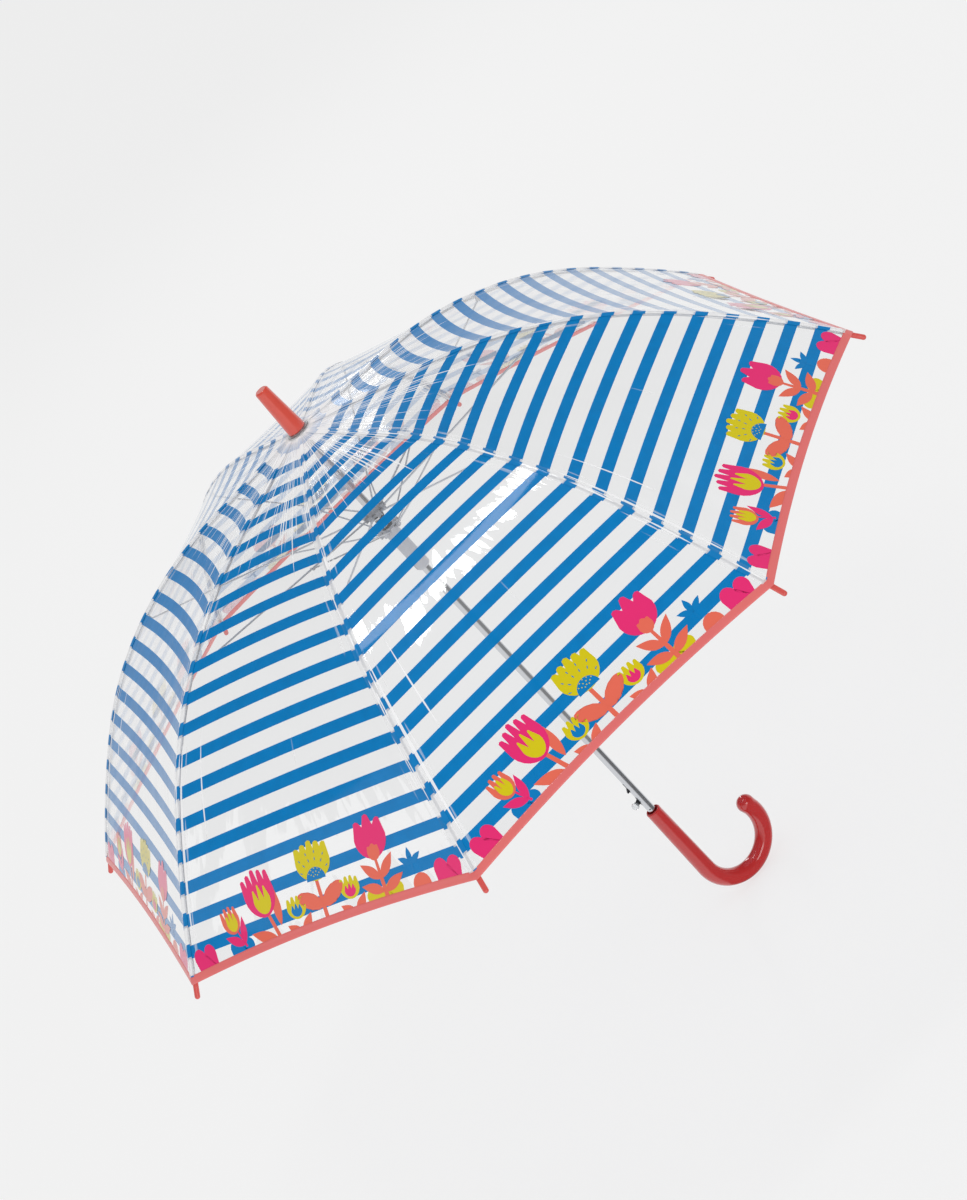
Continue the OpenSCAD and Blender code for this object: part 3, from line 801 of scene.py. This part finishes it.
# the opening spring, which shortens as the two hubs close up; its coil is built here at rest and rides on the
# runner
spring = {
    "turns": 7,
    "wire": 0.00055,            # half its thickness
    "closing": 0.0137,          # how much shorter the coil gets
    "steps": 24,                # in each turn
    "sides": 8,
}
springLow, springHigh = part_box("opening_spring")
springRings = spring["turns"] * spring["steps"]
springPoints = []
for i in range(springRings + 1):
    angle = 2 * math.pi * i / spring["steps"]
    climb = (springHigh.z - springLow.z - 2 * spring["wire"]) * i / springRings
    for j in range(spring["sides"]):
        side = 2 * math.pi * j / spring["sides"]
        radius = springHigh.x - spring["wire"] + spring["wire"] * math.cos(side)
        springPoints.append((radius * math.cos(angle), radius * math.sin(angle),
                             springLow.z + spring["wire"] * (1 + math.sin(side)) + climb))
springFaces = gridFaces(springRings, spring["sides"], closed=True)
lastRing = len(springPoints) - spring["sides"]
springFaces += [tuple(range(spring["sides"]))[::-1],
                tuple(lastRing + j for j in range(spring["sides"]))]
springCoil = makeMesh("spring_coil", springPoints, [f[::-1] for f in springFaces], looks["darkSteel"])
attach(springCoil, "runner")
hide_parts("opening_spring")
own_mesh(springCoil)

# stage, light and camera
stage = {
    "floorSize": 40.0,
    "floorDrop": 0.001,
    "floorGlow": 0.695,
    "floorColour": (0.24, 0.24, 0.24, 1.0),
    "floorRough": (0.85, 0.95),
    "dustScale": 3.0,
    "sky": 0.62,
    "skyline": 0.85,
    "skylineTop": 0.45,                 # upward share of a direction at which the skyline ends
    "brightSide": (-0.6, 0.8, 0.0),     # mirrors see a dark room on the other side
    "brightEdge": (-0.8, -0.5),
    "floorMirror": (0.02, 0.7),         # what mirrors see of the floor, on the dark and on the bright side
    "horizonMirror": (0.02, 0.75),
    "horizonBand": (0.2, 0.55),
    "skyMirror": 0.06,
}
floorMaterial, t, out = newMaterial("paleFloor")
dust = t.add("ShaderNodeTexNoise", {"Scale": stage["dustScale"], "Detail": 2.0})
mirrorRay = t.add("ShaderNodeLightPath").outputs["Is Glossy Ray"]
floorSide = t.add("ShaderNodeVectorMath", {0: t.add("ShaderNodeTexCoord").outputs["Object"]},
                  operation="NORMALIZE")
floorSide = t.add("ShaderNodeVectorMath", {0: floorSide.outputs[0], 1: stage["brightSide"]},
                  operation="DOT_PRODUCT")
mirrorGlow = t.ramp(floorSide.outputs["Value"], *stage["brightEdge"], *stage["floorMirror"])
glow = t.math("ADD", t.math("MULTIPLY", mirrorRay, mirrorGlow),
              t.math("MULTIPLY", t.math("SUBTRACT", 1.0, mirrorRay), stage["floorGlow"]))
floorShader = t.add("ShaderNodeBsdfPrincipled", {
    "Base Color": stage["floorColour"], "Specular IOR Level": 0.0,
    "Roughness": t.ramp(dust.outputs["Fac"], 0.3, 0.7, *stage["floorRough"]),
    "Emission Color": (1, 1, 1, 1), "Emission Strength": glow})
t.join(floorShader.outputs[0], out.inputs["Surface"])
h, drop = stage["floorSize"] / 2, -stage["floorDrop"]
floor = makeMesh("floor", [(-h, -h, drop), (h, -h, drop), (h, h, drop), (-h, h, drop)], [(0, 1, 2, 3)],
                 floorMaterial, smooth=False)

world = bpy.data.worlds.new("studio")
bpy.context.scene.world = world
world.use_nodes = True
world.node_tree.nodes.clear()
w = Tree(world.node_tree)
direction = w.add("ShaderNodeTexCoord").outputs["Generated"]
heading = w.add("ShaderNodeSeparateXYZ", {"Vector": direction})
skyShader = w.add("ShaderNodeBackground", {"Color": (1, 1, 1, 1), "Strength": w.ramp(
    heading.outputs["Z"], 0.0, stage["skylineTop"], stage["skyline"], stage["sky"])})
skySide = w.add("ShaderNodeVectorMath", {0: direction, 1: stage["brightSide"]}, operation="DOT_PRODUCT")
horizon = w.math("MULTIPLY", w.ramp(heading.outputs["Z"], *stage["horizonBand"], 1.0, 0.0),
                 w.ramp(skySide.outputs["Value"], *stage["brightEdge"], *stage["horizonMirror"]))
mirrorShader = w.add("ShaderNodeBackground", {
    "Color": (1, 1, 1, 1), "Strength": w.math("ADD", horizon, stage["skyMirror"])})
studioSky = w.add("ShaderNodeMixShader", {0: w.add("ShaderNodeLightPath").outputs["Is Glossy Ray"],
                                          1: skyShader.outputs[0], 2: mirrorShader.outputs[0]})
w.join(studioSky.outputs[0], w.add("ShaderNodeOutputWorld").inputs["Surface"])


def areaLight(name, spot, target, size, power):
    data = bpy.data.lights.new(name, "AREA")
    data.shape = "RECTANGLE"
    data.size, data.size_y = size
    data.energy = power
    light = bpy.data.objects.new(name, data)
    bpy.context.scene.collection.objects.link(light)
    light.location = spot
    light.rotation_euler = (Vector(target) - Vector(spot)).to_track_quat("-Z", "Y").to_euler()


lamps = {       # where it hangs, what it faces, its size in metres and its power in watts
    "overheadLeft": ((-0.16, -0.5, 2.9), (-0.05, -0.15, 0.6), (0.24, 0.4), 3.2),
    "overheadRight": ((0.27, -0.46, 2.9), (0.05, -0.15, 0.6), (0.36, 0.34), 4.2),
    "leftBox": ((-2.3, 0.3, 1.9), (-0.2, -0.2, 0.5), (0.5, 0.5), 0.8),
    "frontFill": ((-0.3, -3.2, 1.2), (0, 0, 0.4), (1.6, 1.0), 14),
    "backStrip": ((0.9, 2.4, 1.9), (0, 0, 0.5), (0.25, 1.8), 8),
}
for name, values in lamps.items():
    areaLight(name, *values)

viewpoint = {"azimuth": -14.3, "elevation": 23.64, "roll": -42.88, "distance": 2.7519,
             "aim": (-0.0043, -0.0883, crownHeight - 0.198), "lens": 119.05}
a, e, roll = (math.radians(viewpoint[key]) for key in ("azimuth", "elevation", "roll"))
back = Vector((math.sin(a) * math.cos(e), -math.cos(a) * math.cos(e), math.sin(e)))
levelRight = Vector((math.cos(a), math.sin(a), 0))
levelUp = back.cross(levelRight)
right = math.cos(roll) * levelRight + math.sin(roll) * levelUp
up = math.cos(roll) * levelUp - math.sin(roll) * levelRight
cameraData = bpy.data.cameras.new("camera")
cameraData.sensor_fit = "HORIZONTAL"
cameraData.sensor_width = 36.0
cameraData.lens = viewpoint["lens"]
camera = bpy.data.objects.new("camera", cameraData)
bpy.context.scene.collection.objects.link(camera)
spot = Vector(viewpoint["aim"]) + viewpoint["distance"] * back
camera.matrix_world = Matrix.Translation(spot) @ Matrix((right, up, back)).transposed().to_4x4()
bpy.context.scene.camera = camera
bpy.context.scene.view_settings.view_transform = "Standard"
bpy.context.scene.view_settings.look = "None"
bpy.context.scene.cycles.transparent_max_bounces = 32
print("stage, light and camera set")
